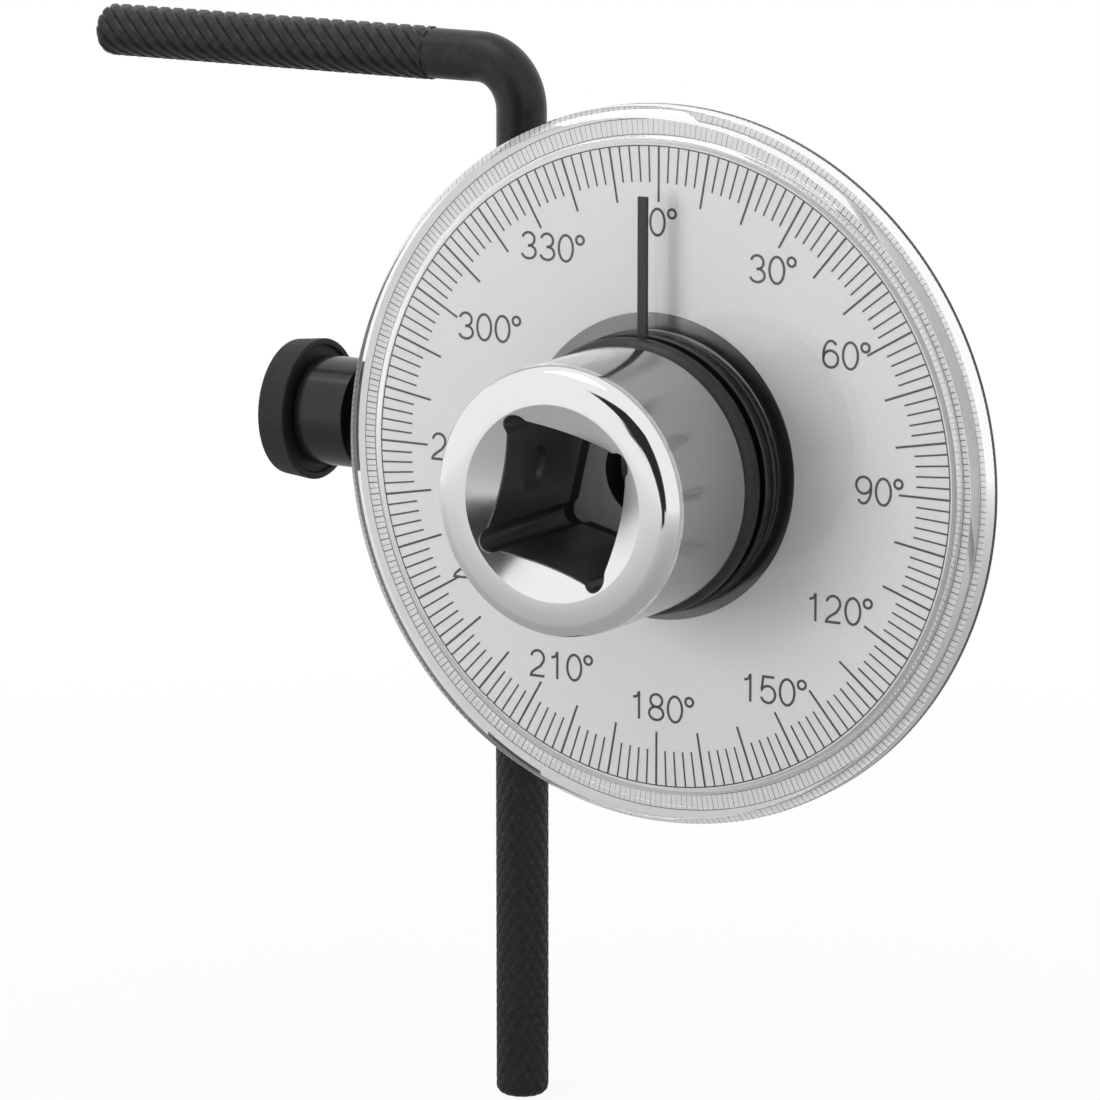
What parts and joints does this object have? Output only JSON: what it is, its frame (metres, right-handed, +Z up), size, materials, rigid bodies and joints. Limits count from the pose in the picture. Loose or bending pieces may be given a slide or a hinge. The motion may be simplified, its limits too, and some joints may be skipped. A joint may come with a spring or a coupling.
{
  "type": "torque angle gauge",
  "caption": "Dial gauge with a square drive through its centre, a clear round scale in degrees, a pointer, and a bent reaction rod held by a thumbscrew.",
  "frame": {"origin": "on the drive axis, in the plane of the socket's front face", "axes": "-Y out of the socket towards the reader of the dial, +Y along the tang, +Z up to the zero of the scale, +X to the reader's right"},
  "size_m": [0.1074, 0.056, 0.1081],
  "materials": {
    "chrome": "polished chrome plate",
    "black_steel": "phosphated spring steel",
    "rubber": "smooth black rubber",
    "carrier_black": "gloss black",
    "pointer_grey": "satin dark grey",
    "ring_black": "gloss black",
    "clear_lens": "clear acrylic",
    "silver_plate": "satin silver, printed",
    "housing_black": "satin black",
    "bronze": "sintered bronze",
    "bush_black": "moulded black",
    "rod_black": "black oxide",
    "brass": "turned brass",
    "neck_black": "gloss black",
    "knob_black": "fine matt black",
    "steel": "bright steel"
  },
  "bodies": {
    "housing": {"rear_housing": "housing_black", "spindle_bush": "bronze", "thrust_washer": "bronze", "dial_retaining_ring": "ring_black", "dial_lens": "clear_lens", "scale_plate": "silver_plate", "dial_back_plate": "silver_plate", "dial_dowel": "steel"},
    "spindle": {"drive_spindle": "chrome", "spindle_circlip": "black_steel", "friction_o_ring": "rubber", "detent_spring": "steel"},
    "pointer": {"pointer_carrier": "carrier_black", "pointer_needle": "pointer_grey"},
    "detent": {"detent_ball": "steel"},
    "clamp_bush": {"rod_clamp_bush": "bush_black"},
    "rod": {"bent_rod": "rod_black"},
    "pad": {"pressure_pad": "brass"},
    "thumbscrew": {"thumbscrew_body": "neck_black", "thumbscrew_knob": "knob_black"}
  },
  "joints": [
    {"name": "spindle_turn", "type": "hinge", "parent": "housing", "child": "spindle", "pos_m": [0, 0, 0], "axis": [0, 1, 0], "continuous": true},
    {"name": "pointer_set", "type": "hinge", "parent": "spindle", "child": "pointer", "pos_m": [0, 0, 0], "axis": [0, 1, 0], "continuous": true},
    {"name": "detent_press", "type": "slide", "parent": "spindle", "child": "detent", "axis": [0.9728, 0, -0.2317], "range_m": [0, 0.0009], "stiffness_N_per_m": 800, "springref_m": -0.001, "deforming": ["detent_spring"]},
    {"name": "rod_swivel", "type": "hinge", "parent": "housing", "child": "clamp_bush", "pos_m": [-0.0211, 0.03032, 0], "axis": [0, 0, -1], "range_deg": [-3, 177]},
    {"name": "rod_slide", "type": "slide", "parent": "clamp_bush", "child": "rod", "axis": [0, 0, 1], "range_m": [-0.012, 0.045]},
    {"name": "screw_travel", "type": "slide", "parent": "housing", "child": "pad", "axis": [-1, 0, 0], "range_m": [0, 0.003]},
    {"name": "screw_turn", "type": "hinge", "parent": "pad", "child": "thumbscrew", "pos_m": [-0.0271, 0.03032, 0.0003], "axis": [-1, 0, 0], "range_deg": [0, 1080]}
  ],
  "couplings": [
    {"joint": "screw_travel", "follows": "screw_turn", "m_per_rad": 0.00015915}
  ]
}
